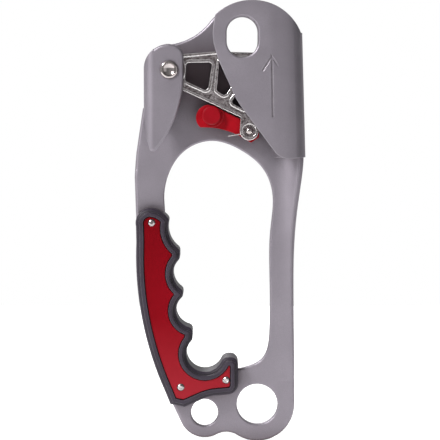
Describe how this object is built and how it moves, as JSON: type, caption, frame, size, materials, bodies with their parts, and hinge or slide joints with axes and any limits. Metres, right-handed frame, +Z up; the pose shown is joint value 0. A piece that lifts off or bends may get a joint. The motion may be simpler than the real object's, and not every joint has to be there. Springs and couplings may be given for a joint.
{
  "type": "rope ascender",
  "caption": "Left-handed rope ascender: folded alloy frame with rope channel, toothed sprung cam with red safety catch, rubber grip with red covers, eyes at the foot.",
  "frame": {"origin": "centre of the large lower eye, in the middle of the frame's sheet", "axes": "+X from the grip to the rope channel, +Y from the open front to the flat back along the eye's axis, +Z up along the rope"},
  "size_m": [0.0848, 0.0344, 0.2201],
  "materials": {
    "frame_alloy": "bead-blasted and anodised, satin",
    "cam_steel": "investment-cast steel, chromed and polished",
    "rivet_steel": "bright turned steel",
    "spring_wire": "drawn spring wire",
    "catch_red": "moulded, semi-gloss",
    "pad_red": "moulded, semi-gloss, slightly darker",
    "grip_rubber": "moulded rubber, fine matt texture",
    "cover_red": "moulded, satin"
  },
  "bodies": {
    "body": {"frame": "frame_alloy", "cam_axle": "rivet_steel", "axle_sleeve": "rivet_steel", "thrust_washers": "rivet_steel", "axle_tail_washer": "rivet_steel", "cam_spring": "spring_wire", "grip_shell_front": "grip_rubber", "grip_shell_back": "grip_rubber", "grip_cover_front": "cover_red", "grip_cover_back": "cover_red", "grip_rivet_posts": "rivet_steel", "grip_rivet_caps": "rivet_steel"},
    "cam": {"cam": "cam_steel", "catch_pin": "rivet_steel"},
    "catch": {"catch_lever": "catch_red", "catch_button": "pad_red", "catch_spring": "spring_wire"}
  },
  "joints": [
    {"name": "cam_pivot", "type": "hinge", "parent": "body", "child": "cam", "pos_m": [-0.0435, 0, 0.1676], "axis": [0, 1, 0], "range_deg": [0, 52], "stiffness_Nm_per_rad": 0.05, "springref_deg": -57.3, "deforming": ["cam_spring"]},
    {"name": "catch_pivot", "type": "hinge", "parent": "cam", "child": "catch", "pos_m": [-0.0043, 0, 0.1376], "axis": [0, -1, 0], "range_deg": [0, 30], "stiffness_Nm_per_rad": 0.004, "springref_deg": -34.38, "deforming": ["catch_spring"]}
  ]
}
